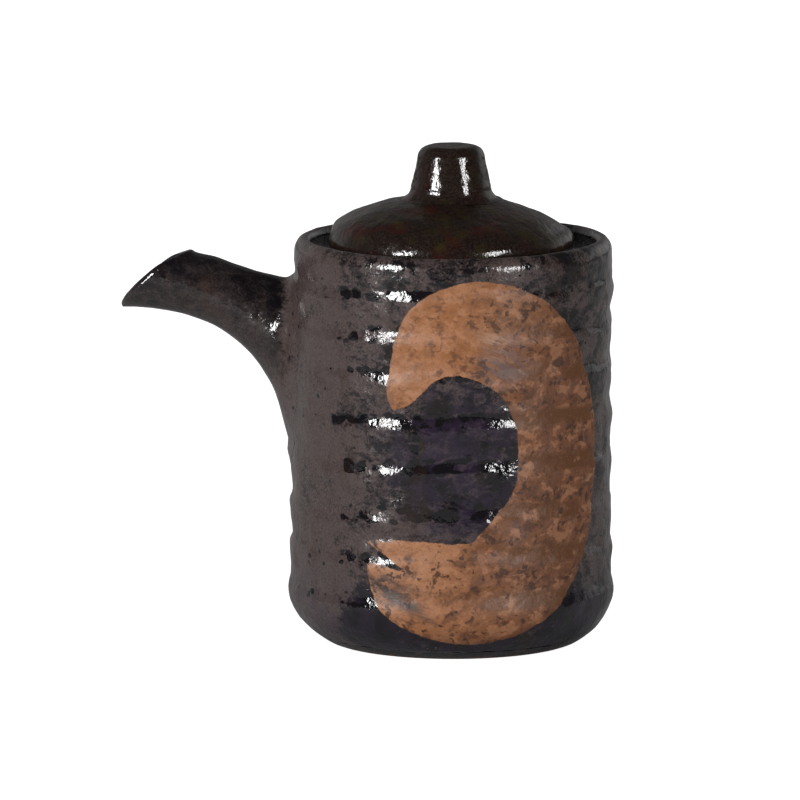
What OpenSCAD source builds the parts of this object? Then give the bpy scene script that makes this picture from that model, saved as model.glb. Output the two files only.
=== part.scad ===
// Lidded stoneware pourer: a wheel-thrown pot with a beak spout and a lift-off lid.
// Origin at the centre of the plane the foot rests on. Millimetres, +Z up.
// The spout points along -X. The brushed side of the pot faces -Y.

/* [Pot] */
// Height from the resting plane to the crest of the rim
body_h = 80; // [60:0.5:110]
// Outer radius of the wall at the rim
rim_r = 31.2; // [24:0.1:42]
// Wall thickness
wall_t = 3.2; // [2.4:0.1:5]
// Thickness of the floor above the foot ring
floor_t = 4; // [3:0.1:7]
// Radius of the corner between floor and wall on the inside
floor_corner = 5; // [2:0.5:9]
// Widest outer radius, low on the wall
belly_r = 32.3; // [25:0.1:44]
// Height of the widest point
belly_z = 10.5; // [8:0.5:16]
// How squarely the wall turns in below the widest point
heel_power = 0.9; // [0.6:0.05:1.2]

/* [Throwing rings] */
// Height from one throwing ring to the next
ring_pitch = 8.2; // [6:0.1:12]
// Ring crest above the mean wall, and groove below it
ring_depth = 0.2; // [0:0.05:0.5]
// Height over which the foot flare fades by half
flare_fade = 3; // [1.5:0.5:6]

/* [Foot ring] */
// Height of the turned foot
foot_h = 1.8; // [1:0.1:4]
// Outer radius at the resting plane
foot_r = 24.2; // [18:0.1:32]
// Width of the resting face
foot_w = 3.6; // [2:0.1:6]

/* [Lid seat] */
// Depth of the ledge below the crest of the rim
seat_drop = 2.8; // [2:0.1:5]
// Radius of the opening inside the ledge
seat_r = 20.5; // [15:0.1:25]
// Ledge thickness at its inner edge
seat_t = 2.2; // [1.5:0.1:4]
// How much deeper the ledge is where it meets the wall
seat_haunch = 2; // [0:0.1:4]

/* [Spout] */
// Top line where it leaves the wall: distance from the axis, height
top_root = [29.5, 72.5]; // [0:0.5:120]
// Top line, point it bends towards
top_bend = [37, 70.5]; // [0:0.5:120]
// Top line at the mouth
top_mouth = [51.5, 76.5]; // [0:0.5:120]
// Underside where it leaves the wall: distance from the axis, height
low_root = [30.5, 32]; // [0:0.5:120]
// Underside, first point it bends towards
low_bend = [34, 51]; // [0:0.5:120]
// Underside, second point it bends towards
low_throat = [41, 65]; // [0:0.5:120]
// Underside at the mouth
low_mouth = [66, 65]; // [0:0.5:120]
// Width across the root
root_w = 29; // [18:0.5:40]
// Width across the mouth
mouth_w = 13; // [9:0.5:20]
// How fast the root narrows to the neck
neck_power = 2.2; // [1:0.1:4]
// Spout wall thickness
spout_t = 2.2; // [1.6:0.1:3.5]

/* [Pour hole] */
// Diameter of the hole through the wall inside the spout
pour_d = 13; // [8:0.5:16]
// Height of the hole where it crosses the middle of the wall
pour_z = 56; // [40:0.5:70]
// Climb of the hole towards the spout, degrees
pour_climb = 25; // [0:1:45]

/* [Lid] */
// Outer radius of the lid
lid_r = 24.2; // [18:0.1:29]
// Radius of the rounded lower edge
edge_r = 2; // [1:0.1:3]
// Height of the dome above its edge, without the knob
dome_h = 9.4; // [5:0.1:16]
// Fullness of the dome, 1 is a half ellipse
dome_power = 1.24; // [0.8:0.02:1.8]
// Thickness of the lid over the hollow underside
lid_t = 4; // [3:0.1:6]

/* [Locating ring] */
// Outer radius of the ring under the lid
flange_r = 19.4; // [14:0.1:24]
// Thickness of the ring
flange_t = 2.8; // [2:0.1:4]
// How far the ring hangs below the ledge
flange_h = 6; // [3:0.5:12]

/* [Knob] */
// Height of the top of the knob above the resting plane
knob_top = 98.4; // [85:0.1:130]
// Radius of the stem just above the fillet
knob_base_r = 7.9; // [5:0.1:12]
// Radius just under the rounded top
knob_top_r = 6.5; // [4:0.1:12]
// Rounding of the top
knob_round = 1.9; // [0.5:0.1:4]
// Fillet between stem and dome
knob_fillet = 2.1; // [0.5:0.1:5]

/* [Hidden] */

$fn = 96;
lip_r = wall_t / 2;
lip_z = body_h - lip_r;
cavity_r = rim_r - wall_t;
seat_z = body_h - seat_drop;
floor_z = foot_h + floor_t;
edge_z = seat_z + edge_r;
knob_land_r = knob_base_r + knob_fillet;
knob_land_z = dome_z(knob_land_r);

// Steps along curved outlines
heel_steps = 8;
rings_steps = 34;
arc_steps = 8;
dome_steps = 16;
ring_sides = 36;
loft_steps = 10;
lip_steps = 4;

color_glaze = [0.29, 0.26, 0.26];
color_lid = [0.20, 0.17, 0.15];
color_clay = [0.52, 0.36, 0.27];

// ---- pot outline ----

// Radius below the widest point, from the foot up.
function heel_radius(z) =
    let (s = z / belly_z)
    foot_r + (belly_r - foot_r) * pow(s * (2 - s), heel_power);

// Radius above the widest point: a fading flare with throwing rings on it.
function wall_radius(z) =
    let (up = z - belly_z)
    rim_r + (belly_r - rim_r - ring_depth) * pow(2, -up / flare_fade)
    + ring_depth * cos(360 * up / ring_pitch);

// Points of an arc from angle a0 to a1.
function arc(centre, radius, a0, a1, steps) =
    [for (i = [0:steps])
        let (a = a0 + (a1 - a0) * i / steps)
        centre + radius * [cos(a), sin(a)]];

// Outer wall from the top of the foot ring to the start of the lip.
function wall_line() = concat(
    [for (i = [0:heel_steps - 1])
        let (z = foot_h + (belly_z - foot_h) * i / heel_steps)
        [heel_radius(z), z]],
    [for (i = [0:rings_steps])
        let (z = belly_z + (lip_z - belly_z) * i / rings_steps)
        [wall_radius(z), z]]);

// The pot as if it were solid up to the start of the lip.
module pot_envelope() {
    rotate_extrude()
        polygon(concat([[0, foot_h]], wall_line(), [[0, lip_z]]));
}

// Everything that is hollow inside the wall.
function cavity_line() = concat(
    arc([cavity_r - floor_corner, floor_z + floor_corner], floor_corner, 0, -90, arc_steps),
    [[0, floor_z]]);

module pour_bore() {
    translate([-(rim_r - wall_t / 2), 0, pour_z])
        rotate([0, pour_climb - 90, 0])
            cylinder(d = pour_d, h = 4 * wall_t, center = true);
}

// ---- pot ----

module pot_body() {
    color(color_glaze)
    difference() {
        rotate_extrude()
            polygon(concat(
                [[0, foot_h]],
                wall_line(),
                arc([rim_r - lip_r, lip_z], lip_r, 15, 180, arc_steps),
                cavity_line()));
        pour_bore();
    }
}

module foot_ring() {
    color(color_clay)
    rotate_extrude()
        polygon(concat(
            [for (i = [0:arc_steps])
                let (z = foot_h * i / arc_steps)
                [heel_radius(z), z]],
            [[foot_r - foot_w - foot_h / 2, foot_h],
             [foot_r - foot_w, 0]]));
}

module lid_seat() {
    color(color_glaze)
    rotate_extrude()
        polygon([
            [seat_r, seat_z],
            [seat_r, seat_z - seat_t],
            [cavity_r, seat_z - seat_t - seat_haunch],
            [cavity_r, seat_z]]);
}

// ---- spout ----

function bend2(a, b, c, t) =
    a * pow(1 - t, 2) + b * 2 * t * (1 - t) + c * pow(t, 2);

function bend3(a, b, c, d, t) =
    a * pow(1 - t, 3) + b * 3 * t * pow(1 - t, 2) + c * 3 * pow(t, 2) * (1 - t) + d * pow(t, 3);

function top_line(t) = bend2(top_root, top_bend, top_mouth, t);
function low_line(t) = bend3(low_root, low_bend, low_throat, low_mouth, t);

// One oval loop of the spout at t along it. The loop is drawn in by inset,
// moved out along the flow by lift, and slid towards the pot axis by sunk.
// Near the root its sides wrap back around the wall.
function spout_loop(t, inset, lift, sunk) =
    let (top = top_line(t),
         low = low_line(t),
         mid = (top + low) / 2,
         rise = (top - low) / norm(top - low),
         flow = [rise[1], -rise[0]],
         tall = norm(top - low) / 2 - inset,
         wide = mouth_w / 2 + (root_w - mouth_w) / 2 * pow(1 - t, neck_power) - inset)
    [for (i = [0:ring_sides - 1])
        let (a = 360 * i / ring_sides,
             p = mid + rise * tall * cos(a) + flow * lift,
             side = wide * sin(a),
             wrap = (rim_r - sqrt(pow(rim_r, 2) - pow(side, 2))) * pow(1 - t, 2))
        [-(p[0] - sunk - wrap), side, p[1]]];

// Outer skin from the root to the mouth, over the rounded lip, and back inside.
function spout_loops() = concat(
    [spout_loop(0, 0, 0, wall_t * 2)],
    [for (i = [0:loft_steps]) spout_loop(i / loft_steps, 0, 0, 0)],
    [for (i = [1:lip_steps - 1])
        let (a = 180 * i / lip_steps)
        spout_loop(1, spout_t / 2 * (1 - cos(a)), spout_t / 2 * sin(a), 0)],
    [for (i = [loft_steps:-1:0]) spout_loop(i / loft_steps, spout_t, 0, 0)],
    [spout_loop(0, spout_t, 0, wall_t * 2)]);

// Closed tube through a list of loops, the last joined back to the first.
module loop_tube(loops) {
    n = len(loops);
    m = ring_sides;
    polyhedron(
        points = [for (loop = loops) for (p = loop) p],
        faces = [for (j = [0:n - 1]) for (i = [0:m - 1]) for (half = [0:1])
            let (j2 = (j + 1) % n,
                 i2 = (i + 1) % m)
            half == 0
                ? [j * m + i, j2 * m + i, j2 * m + i2]
                : [j * m + i, j2 * m + i2, j * m + i2]],
        convexity = 6);
}

module spout() {
    color(color_glaze)
    difference() {
        loop_tube(spout_loops());
        pot_envelope();
    }
}

// ---- lid ----

// Height of the dome at radius r.
function dome_z(r) = edge_z + dome_h * pow(1 - pow(r / lid_r, 2), dome_power / 2);

module lid_dome() {
    color(color_lid)
    rotate_extrude()
        polygon(concat(
            [[0, knob_land_z]],
            [for (i = [0:dome_steps])
                let (a = acos(knob_land_r / lid_r) * (1 - i / dome_steps))
                [lid_r * cos(a), edge_z + dome_h * pow(sin(a), dome_power)]],
            arc([lid_r - edge_r, edge_z], edge_r, -15, -90, arc_steps),
            [for (i = [0:dome_steps])
                let (r = (flange_r - flange_t) * (1 - i / dome_steps))
                [r, seat_z + (knob_land_z - lid_t - seat_z)
                    * sqrt(1 - pow(r / (flange_r - flange_t), 2))]]));
}

module lid_flange() {
    color(color_lid)
    translate([0, 0, seat_z - flange_h])
        difference() {
            cylinder(r = flange_r, h = flange_h);
            translate([0, 0, -1])
                cylinder(r = flange_r - flange_t, h = flange_h + 2);
        }
}

module lid_knob() {
    color(color_lid)
    rotate_extrude()
        polygon(concat(
            [[0, knob_land_z]],
            arc([knob_land_r, knob_land_z + knob_fillet], knob_fillet, 270, 180, arc_steps),
            arc([knob_top_r - knob_round, knob_top - knob_round], knob_round, 8, 90, arc_steps),
            [[0, knob_top]]));
}

pot_body();
foot_ring();
lid_seat();
spout();
lid_dome();
lid_flange();
lid_knob();
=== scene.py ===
"""Looks of a lidded stoneware pourer: glazed pot with a beak spout, and a lift-off lid."""

import math

import bpy
import numpy as np
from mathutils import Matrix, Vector, noise


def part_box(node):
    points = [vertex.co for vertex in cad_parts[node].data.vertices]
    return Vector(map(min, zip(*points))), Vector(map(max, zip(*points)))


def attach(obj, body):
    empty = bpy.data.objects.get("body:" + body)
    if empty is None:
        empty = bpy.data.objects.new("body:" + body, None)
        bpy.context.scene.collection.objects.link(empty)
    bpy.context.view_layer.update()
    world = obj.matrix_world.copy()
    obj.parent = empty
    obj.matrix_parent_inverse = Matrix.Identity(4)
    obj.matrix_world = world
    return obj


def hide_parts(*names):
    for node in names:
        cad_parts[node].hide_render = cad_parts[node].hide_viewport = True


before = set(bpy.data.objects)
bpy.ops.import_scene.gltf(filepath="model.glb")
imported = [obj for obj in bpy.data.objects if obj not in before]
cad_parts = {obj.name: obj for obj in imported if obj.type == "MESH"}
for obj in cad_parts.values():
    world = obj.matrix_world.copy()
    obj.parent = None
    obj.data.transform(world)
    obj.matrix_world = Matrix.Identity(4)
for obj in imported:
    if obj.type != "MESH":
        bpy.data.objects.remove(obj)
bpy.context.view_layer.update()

MM = 0.001

# ---------------- sizes, mm


def box_mm(node):
    """Lowest and highest corner of a CAD node, in millimetres."""
    low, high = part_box(node)
    return low / MM, high / MM


POT_HIGH = box_mm("pot_body")[1]
FOOT_TOP = box_mm("foot_ring")[1].z
SEAT_LOW, SEAT_HIGH = box_mm("lid_seat")
DOME_LOW, DOME_HIGH = box_mm("lid_dome")
FLANGE_LOW, FLANGE_HIGH = box_mm("lid_flange")
KNOB_LOW, KNOB_HIGH = box_mm("lid_knob")

RIM_Z = POT_HIGH.z
CAVITY_R = SEAT_HIGH.x
FLOOR_T = 4.0
FLOOR_Z = FOOT_TOP + FLOOR_T
FLOOR_CORNER = 5.0
SEAT_Z = SEAT_HIGH.z
SEAT_R = 20.5
SEAT_T = 2.2

# Outer wall: a slight taper up to the rim, with a swell that fades above the belly.
WALL_R = 31.2
WALL_LOW_R = 31.65
BELLY_SWELL = 0.3
SWELL_FADE = 3.0

# Throwing rings: height of each crest. A ring rises slowly from the groove below it
# and drops quickly to the next.
CRESTS = [10.5, 19, 27.5, 37, 46, 55, 63, 71]
RING_DROP = 2.7
RING_DEPTH = 0.20

# Heel: from the resting plane to the widest point.
FOOT_R = 24.5
FOOT_INNER_R = 20.6
BELLY_Z = CRESTS[0]
BELLY_R = WALL_LOW_R + BELLY_SWELL + RING_DEPTH
HEEL_POWER = 0.86

# Rim: rounded over from the wall to the crest, and more tightly down to the inside.
LIP_START_Z = 77.2
LIP_CREST_R = 29.2
LIP_INSIDE_Z = 78.4

# How far the rim and the foot stand to the right of the wall between them.
RIM_SHIFT = 0.4
FOOT_SHIFT = 0.45

# Brush stroke: places along its middle as arc round the pot from -Y towards +X,
# height, and half width.
STROKE = [
    (-6, 50.5, 0.5), (-4.5, 54, 3), (-1, 60.5, 5.5), (3.5, 65, 8), (11, 66, 9.5),
    (18.5, 63, 10), (24, 58, 10), (27, 52, 10), (29, 44.5, 10.5), (29, 36, 10.5),
    (27, 28, 11), (21.5, 20.5, 11.5), (14.5, 15, 10.5), (6, 14, 10), (-2, 16, 8.5),
    (-7, 19.5, 5), (-10.5, 22.5, 1.5),
]
# Bare wedge in the tail of the stroke, where the brush ran dry.
STROKE_GAP = [(-1.5, 17.5, 0), (-5, 19, 0.5), (-8.5, 20.5, 1), (-13, 22, 2)]
# Streaks in the tail where the slip is so thin that the dark glaze shows through.
STROKE_THIN = [
    [(2, 8.5, 0.5), (-2.5, 11.5, 1), (-7, 14, 1.5), (-12, 17.5, 1)],
    [(1, 14, 0.2), (-3, 15, 0.6), (-8, 17, 0.8)],
]
SLIP_T = 0.09
# Arcs between which the stroke and its edges lie, and the distance counted as far off.
STROKE_REACH = (-26, 52)
FAR_FROM_STROKE = 12.0
# The hollow of the hook, an ellipse on the unrolled wall: middle, half width and height.
HOOK_MIDDLE = (6.0, 40.0)
HOOK_SIZE = (15.0, 17.0)

# Spout: lines in the XZ plane as distance from the axis, height.
SPOUT_TOP = [(29.5, 71), (37, 70.5), (51.5, 76.5)]
SPOUT_LOW_LINE = [(31, 33), (33.5, 51.5), (41, 65), (65.8, 64.5)]
SPOUT_ROOT_W = 20.5
SPOUT_MOUTH_W = 13.0
SPOUT_NECK_POWER = 2.2
SPOUT_T = 2.2
SPOUT_FILLET_TOP = 2.6
SPOUT_FILLET_SIDE = 4.5
SPOUT_DROOP = 0.75
MOUTH_BULGE = 0.9

# Pour hole: a round bore through the wall, climbing outwards. It reaches this far
# inward and outward from its middle.
POUR_D = 13.0
POUR_X = -29.4
POUR_Z = 56.0
POUR_CLIMB = 25.0
POUR_INWARD = 5.0
POUR_OUTWARD = 4.2

# Lid: the dome is one curve from its upright edge, over a round shoulder, to the knob.
LID_R = DOME_HIGH.x
EDGE_R = 2.0
EDGE_Z = DOME_LOW.z + EDGE_R
LAND_R = KNOB_HIGH.x
LAND_Z = DOME_HIGH.z
DOME_LINE = [(LID_R, EDGE_Z), (LID_R, 83), (18.5, 85), (LAND_R, LAND_Z)]
HOLLOW_R = 16.6
HOLLOW_Z = 83.6

# Knob: a fillet that leaves the dome along its slope, a waisted stem, a round top that
# stays low enough for the relief of its glaze.
KNOB_FILLET = 2.75
DOME_SLOPE = 14.0
KNOB_WAIST = (7.2, LAND_Z + 5)
KNOB_TOP_R = 6.7
KNOB_ROUND = 2.5
RELIEF_ROOM = 0.15
KNOB_TOP = KNOB_HIGH.z - RELIEF_ROOM

GLAZE_IOR = 1.6

# Camera: seen from a little to the right of the front, so that the spout points
# slightly away.
VIEW_AZIMUTH = 10.0
VIEW_ELEVATION = 9.0
VIEW_DISTANCE = 2.2
VIEW_WIDTH = 0.1578
VIEW_AIM = Vector((-0.0099, -0.0018, 0.0475))
LIGHT_AIM = Vector((0, 0, 0.045))


# ---------------- small maths


def smooth(x, low, high):
    """0 below low, 1 above high, eased between."""
    t = np.clip((x - low) / (high - low), 0, 1)
    return t * t * (3 - 2 * t)


def field(points, size, seed=0.0, stretch=(1, 1, 1)):
    """Smooth noise from -1 to 1 at points (mm), with features about size mm across."""
    scaled = np.asarray(points) / (np.array(stretch) * size) + (seed * 7.31, seed * 3.77, seed * 5.13)
    return np.array([noise.noise(p) for p in scaled.tolist()])


def pits(points, cell, radius, seed):
    """1 at the middle of scattered round pits, 0 outside them."""
    scaled = np.asarray(points) / cell + seed * 11.7
    near = np.array([noise.voronoi(p)[0][0] for p in scaled.tolist()])
    return 1 - smooth(near * cell, 0, radius)


def ring_place(z):
    """Height above the crest below, and the height from that crest to the next."""
    crests = np.array(CRESTS)
    i = np.clip(np.searchsorted(crests, z) - 1, 0, len(crests) - 1)
    return np.maximum(z - crests[i], 0), np.append(np.diff(crests), 2 * RING_DROP)[i]


def ring_wave(z):
    """1 at each ring's crest and -1 in the groove above it."""
    above, pitch = ring_place(z)
    falling = above / RING_DROP
    rising = (above - RING_DROP) / (pitch - RING_DROP)
    turn = np.where(falling < 1, falling, 1 + np.clip(rising, 0, 1))
    return np.cos(np.pi * turn)


def catmull(points, per_span):
    """A smooth curve through points, as an array."""
    p = np.array([points[0]] + list(points) + [points[-1]], float)
    out = []
    for i in range(1, len(p) - 2):
        for t in np.linspace(0, 1, per_span, endpoint=False):
            a, b, c, d = p[i - 1:i + 3]
            out.append(0.5 * (2 * b + (c - a) * t + (2 * a - 5 * b + 4 * c - d) * t * t
                              + (3 * b - a - 3 * c + d) * t ** 3))
    out.append(p[-2])
    return np.array(out)


def bezier(points, t):
    """Point of a Bezier curve of any degree at each t."""
    n = len(points) - 1
    t = np.asarray(t)[..., None]
    return sum(math.comb(n, k) * t ** k * (1 - t) ** (n - k) * np.array(p, float)
               for k, p in enumerate(points))


def resample(line, spacing):
    """The same line (r, z) with points about spacing apart."""
    line = np.asarray(line, float)
    run = np.concatenate([[0], np.cumsum(np.hypot(*np.diff(line, axis=0).T))])
    at = np.linspace(0, run[-1], max(2, int(round(run[-1] / spacing)) + 1))
    return np.stack([np.interp(at, run, line[:, 0]), np.interp(at, run, line[:, 1])], 1)


def arc_line(centre, radii, start, end, steps=12):
    """Points (r, z) on an arc, angles in degrees. radii is one radius, or across and up."""
    across, up = np.broadcast_to(radii, 2)
    a = np.radians(np.linspace(start, end, steps + 1))
    return np.stack([centre[0] + across * np.cos(a), centre[1] + up * np.sin(a)], 1)


# ---------------- brush stroke


def wall_arc(points):
    """Arc round the wall from -Y towards +X, in mm."""
    return np.arctan2(points[:, 0], -points[:, 1]) * WALL_R


def axis_distance(points):
    return np.hypot(points[:, 0], points[:, 1])


def stroke_fields(arc, z):
    """For points of the unrolled wall: distance to the stroke's edge (negative inside),
    place along the stroke and place across it, all in mm."""
    path = catmull(STROKE, 14)
    run = np.concatenate([[0], np.cumsum(np.hypot(*np.diff(path[:, :2], axis=0).T))])
    tangent = np.gradient(path[:, :2], axis=0)
    tangent /= np.linalg.norm(tangent, axis=1)[:, None]
    dx = arc[:, None] - path[None, :, 0]
    dz = z[:, None] - path[None, :, 1]
    edge = np.hypot(dx, dz) - path[None, :, 2]
    best = np.argmin(edge, axis=1)
    rows = np.arange(len(arc))
    across = tangent[best, 0] * dz[rows, best] - tangent[best, 1] * dx[rows, best]
    along = run[best] + tangent[best, 0] * dx[rows, best] + tangent[best, 1] * dz[rows, best]
    return np.maximum(edge[rows, best], -reach(STROKE_GAP, arc, z)), along, across


def reach(line, arc, z):
    """Distance from points of the unrolled wall to the edge of a streak."""
    streak = catmull(line, 10)
    return np.min(np.hypot(arc[:, None] - streak[None, :, 0], z[:, None] - streak[None, :, 1])
                  - streak[None, :, 2], axis=1)


def stroke_at(points):
    """stroke_fields for any points on the pot, only worked out where the stroke can be."""
    points = np.asarray(points)
    arc = wall_arc(points)
    radius = axis_distance(points)
    outside = (radius > CAVITY_R + 1) | (points[:, 2] < BELLY_Z) & (radius > FOOT_INNER_R)
    near = (arc > STROKE_REACH[0]) & (arc < STROKE_REACH[1]) & (points[:, 2] < RIM_Z) & outside
    edge = np.full(len(points), FAR_FROM_STROKE)
    along = np.zeros(len(points))
    across = np.zeros(len(points))
    if near.any():
        edge[near], along[near], across[near] = stroke_fields(arc[near], points[near, 2])
    return np.minimum(edge, FAR_FROM_STROKE), along, across


def hook_inside(points):
    """1 in the hollow of the hook, 0 well away from it."""
    arc = wall_arc(points)
    across = (arc - HOOK_MIDDLE[0]) / HOOK_SIZE[0]
    up = (points[:, 2] - HOOK_MIDDLE[1]) / HOOK_SIZE[1]
    return 1 - smooth(np.hypot(across, up), 0.6, 1.25)


# ---------------- relief of the clay


def heel_radius(z):
    s = np.clip(z / BELLY_Z, 0, 1)
    return FOOT_R + (BELLY_R - FOOT_R) * (s * (2 - s)) ** HEEL_POWER


def plain_wall(z):
    """Radius of the outer wall without its rings."""
    up = (z - BELLY_Z) / (RIM_Z - BELLY_Z)
    return WALL_LOW_R + (WALL_R - WALL_LOW_R) * up + BELLY_SWELL * 2 ** ((BELLY_Z - z) / SWELL_FADE)


def ring_height(angle, z):
    """Height as the rings see it: they wander up and down round the pot."""
    wander = 0.35 * np.sin(angle * 2 + 0.6) + 0.25 * np.sin(angle * 3 + 2.0)
    fade = smooth(z, BELLY_Z, BELLY_Z + 8) * (1 - smooth(z, 72, 76))
    return np.maximum(z + wander * fade, BELLY_Z)


def wall_radius(angle, z):
    """Radius of the outer wall. The rings wander in height and come and go in depth."""
    angle, z = np.broadcast_arrays(angle, z)
    at = np.stack([np.cos(angle) * WALL_R, np.sin(angle) * WALL_R, z], -1).reshape(-1, 3)
    depth = 0.8 + 1.5 * field(at, 13, 31, (1, 1, 0.45)) + 1.3 * field(at, 4.6, 32, (1, 1, 0.8))
    depth = np.clip(depth, 0.0, 1.8).reshape(z.shape)
    depth = 1 + (depth - 1) * smooth(z, BELLY_Z, BELLY_Z + 5)
    rings = RING_DEPTH * depth * ring_wave(ring_height(angle, z))
    rings *= 1 - smooth(z, LIP_START_Z - 3.7, LIP_START_Z - 0.7)
    ringed = plain_wall(np.maximum(z, BELLY_Z)) + rings
    return np.where(z < BELLY_Z, heel_radius(z), ringed)


def lean(points):
    """Sideways step of the wall at each point, seen from the front."""
    z = points[:, 2]
    step = RIM_SHIFT * smooth(z, 40, RIM_Z) + FOOT_SHIFT * (1 - smooth(z, 0, 8))
    a = math.radians(VIEW_AZIMUTH)
    return step[:, None] * np.array([math.cos(a), math.sin(a), 0])


def glaze_relief(points):
    """Height of the fired glaze over the smooth form, mm."""
    lumps = 0.12 * field(points, 14, 1) + 0.15 * field(points, 5.0, 2, (1.0, 1.0, 0.8))
    peel = 0.085 * field(points, 2.4, 3) + 0.045 * field(points, 1.25, 4)
    dents = 0.09 * pits(points, 4.4, 1.3, 5) * smooth(field(points, 9, 6), -0.1, 0.25)
    return lumps + peel - dents


def pot_relief(points):
    """Glaze relief of the pot, with the brushed slip standing proud of it."""
    edge, along, across = stroke_at(points)
    inside = 1 - smooth(edge, -0.7, 0.1)
    streak = np.stack([along / 9.0, across / 0.9, np.zeros(len(along))], 1)
    ridges = 0.010 * field(streak, 1.0, 8)
    calm = (1 - 0.4 * inside - 0.5 * spout_share(points)) * (1 - 0.5 * smooth(points[:, 2], 74, 77))
    return glaze_relief(points) * calm + inside * (SLIP_T + ridges)


# ---------------- meshes


def in_scene(name, data):
    obj = bpy.data.objects.new(name, data)
    bpy.context.scene.collection.objects.link(obj)
    return obj


def make_object(name, verts, faces, body):
    mesh = bpy.data.meshes.new(name)
    mesh.from_pydata((np.asarray(verts) * MM).tolist(), [], faces)
    mesh.validate()
    mesh.shade_smooth()
    obj = in_scene(name, mesh)
    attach(obj, body)
    return obj


def tube_faces(rows, columns, closed=False):
    """Quads of a grid whose columns wrap round, and whose rows do too if closed."""
    faces = []
    for j in range(rows if closed else rows - 1):
        a = j * columns
        b = (j + 1) % rows * columns
        faces += [(a + i, a + (i + 1) % columns, b + (i + 1) % columns, b + i)
                  for i in range(columns)]
    return faces


def spin(pairs, columns):
    """Pairs (r, z) turned round the axis, one loop of points for each."""
    angles = np.linspace(0, 2 * np.pi, columns, endpoint=False)
    radial = np.stack([np.cos(angles), np.sin(angles)], 1)
    return np.concatenate([pairs[:, None, :1] * radial[None], np.repeat(
        pairs[:, None, 1:], columns, 1)], 2).reshape(-1, 3)


def turned(name, line, columns, body, shape):
    """A closed turned form: line is (r, z) from the axis round to the axis again,
    anticlockwise in the rz plane. shape moves its points, given their outward directions."""
    line = np.asarray(line, float)
    inner = line[1:-1]
    slope = np.gradient(inner, axis=0)
    normal = np.stack([slope[:, 1], -slope[:, 0]], 1)
    normal /= np.maximum(np.linalg.norm(normal, axis=1), 1e-9)[:, None]
    points = shape(spin(inner, columns), spin(normal, columns))
    poles = [(0, 0, line[0, 1]), (0, 0, line[-1, 1])]
    rows = len(inner)
    faces = tube_faces(rows, columns)
    first, last = len(points), len(points) + 1
    top = (rows - 1) * columns
    faces += [((i + 1) % columns, i, first) for i in range(columns)]
    faces += [(top + i, top + (i + 1) % columns, last) for i in range(columns)]
    return make_object(name, np.vstack([points, poles]), faces, body)


def sharpen(obj, angle):
    """Keeps real corners crisp and the rest smooth."""
    obj.data.set_sharp_from_angle(angle=math.radians(angle))


def points_of(obj):
    co = np.zeros(len(obj.data.vertices) * 3)
    obj.data.vertices.foreach_get("co", co)
    return co.reshape(-1, 3) / MM


def uneven_arc(points):
    """Arc round the wall from -Y, pushed to and fro so that limits set on it look ragged."""
    push = 13.0 * field(points, 8, 41, (1, 1, 0.75)) + 3.0 * field(points, 3, 42)
    return wall_arc(points) + push


def spout_share(points):
    """0 on the wall, 1 on the free part of the spout."""
    return smooth(axis_distance(points), WALL_R + 0.5, WALL_R + 5)


def grey_skin_and_painted_light(points):
    """How much of the dark glaze is made grey. Part is a dull skin that comes and goes at
    random. Part is painted reflection: greyest at the left of the wall and at its right
    edge, where the pale surroundings reflect, and least in the hollow of the hook, which
    faces the camera and the dark front. Part is painted shade: darker, less grey, in the
    valley where the spout meets the wall. It is also least beside and on top of the spout
    and towards the bottom at the front."""
    arc = uneven_arc(points)
    z = points[:, 2]
    # Painted reflection: greyer at the left of the wall and at its right edge, where the pale
    # surroundings reflect.
    cover = 0.95 - 0.31 * smooth(arc, -28, -10) + 0.10 * smooth(arc, 40, 60)
    cover -= 0.12 * smooth(z, 66, 74)
    low = 1 - smooth(z + 9 * field(points, 7, 43, (1.5, 1.5, 1)), 4, 20)
    low *= smooth(arc, -24, -12) * (1 - smooth(arc, 50, 90))
    band = smooth(arc, 32, 36) * (1 - smooth(arc, 39, 43)) * smooth(z, 40, 52)
    cover -= spout_share(points) * (0.40 + 0.10 * smooth(z, 50, 74))
    radius = axis_distance(points)
    # Painted shade: darker in the valley where the spout meets the wall.
    valley = smooth(radius, WALL_R + 0.8, WALL_R + 2.5) * (1 - smooth(radius, WALL_R + 2.5, 37))
    cover -= 0.35 * valley * smooth(z, 50, 60)
    # Painted dark reflection: less grey in the hollow of the hook, which faces the camera.
    return np.clip(cover - 0.36 * hook_inside(points) - 0.62 * low - 0.3 * band, 0, 1)


def shelves(points):
    """Where a ring's upper slope faces up a little, so that glaze gathers on it; the black put there is
    partly painted dark reflection.
    """
    z = points[:, 2]
    on_wall = 1 - smooth(axis_distance(points), WALL_R + 1, WALL_R + 3)
    above = ring_place(ring_height(np.arctan2(points[:, 1], points[:, 0]), z))[0]
    shelf = smooth(above, -0.2, 0.5) * (1 - smooth(above, 2.8, 4.2))
    return shelf * on_wall * smooth(z, BELLY_Z - 1, BELLY_Z) * (1 - smooth(z, 73, 75))


def pooling_and_dark_reflection(points, shelf):
    """Where the glaze is black and glossy on the shelves of the rings: partly glaze run
    together there, partly painted dark reflection, so most of all towards the front,
    which faces the camera."""
    arc = uneven_arc(points)
    # Painted dark reflection: the pools are weighted to the front, towards the camera.
    front = smooth(arc, -25, -16) * (1 - smooth(arc, 15, 27))
    return shelf * (0.1 + 0.9 * front)


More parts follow.
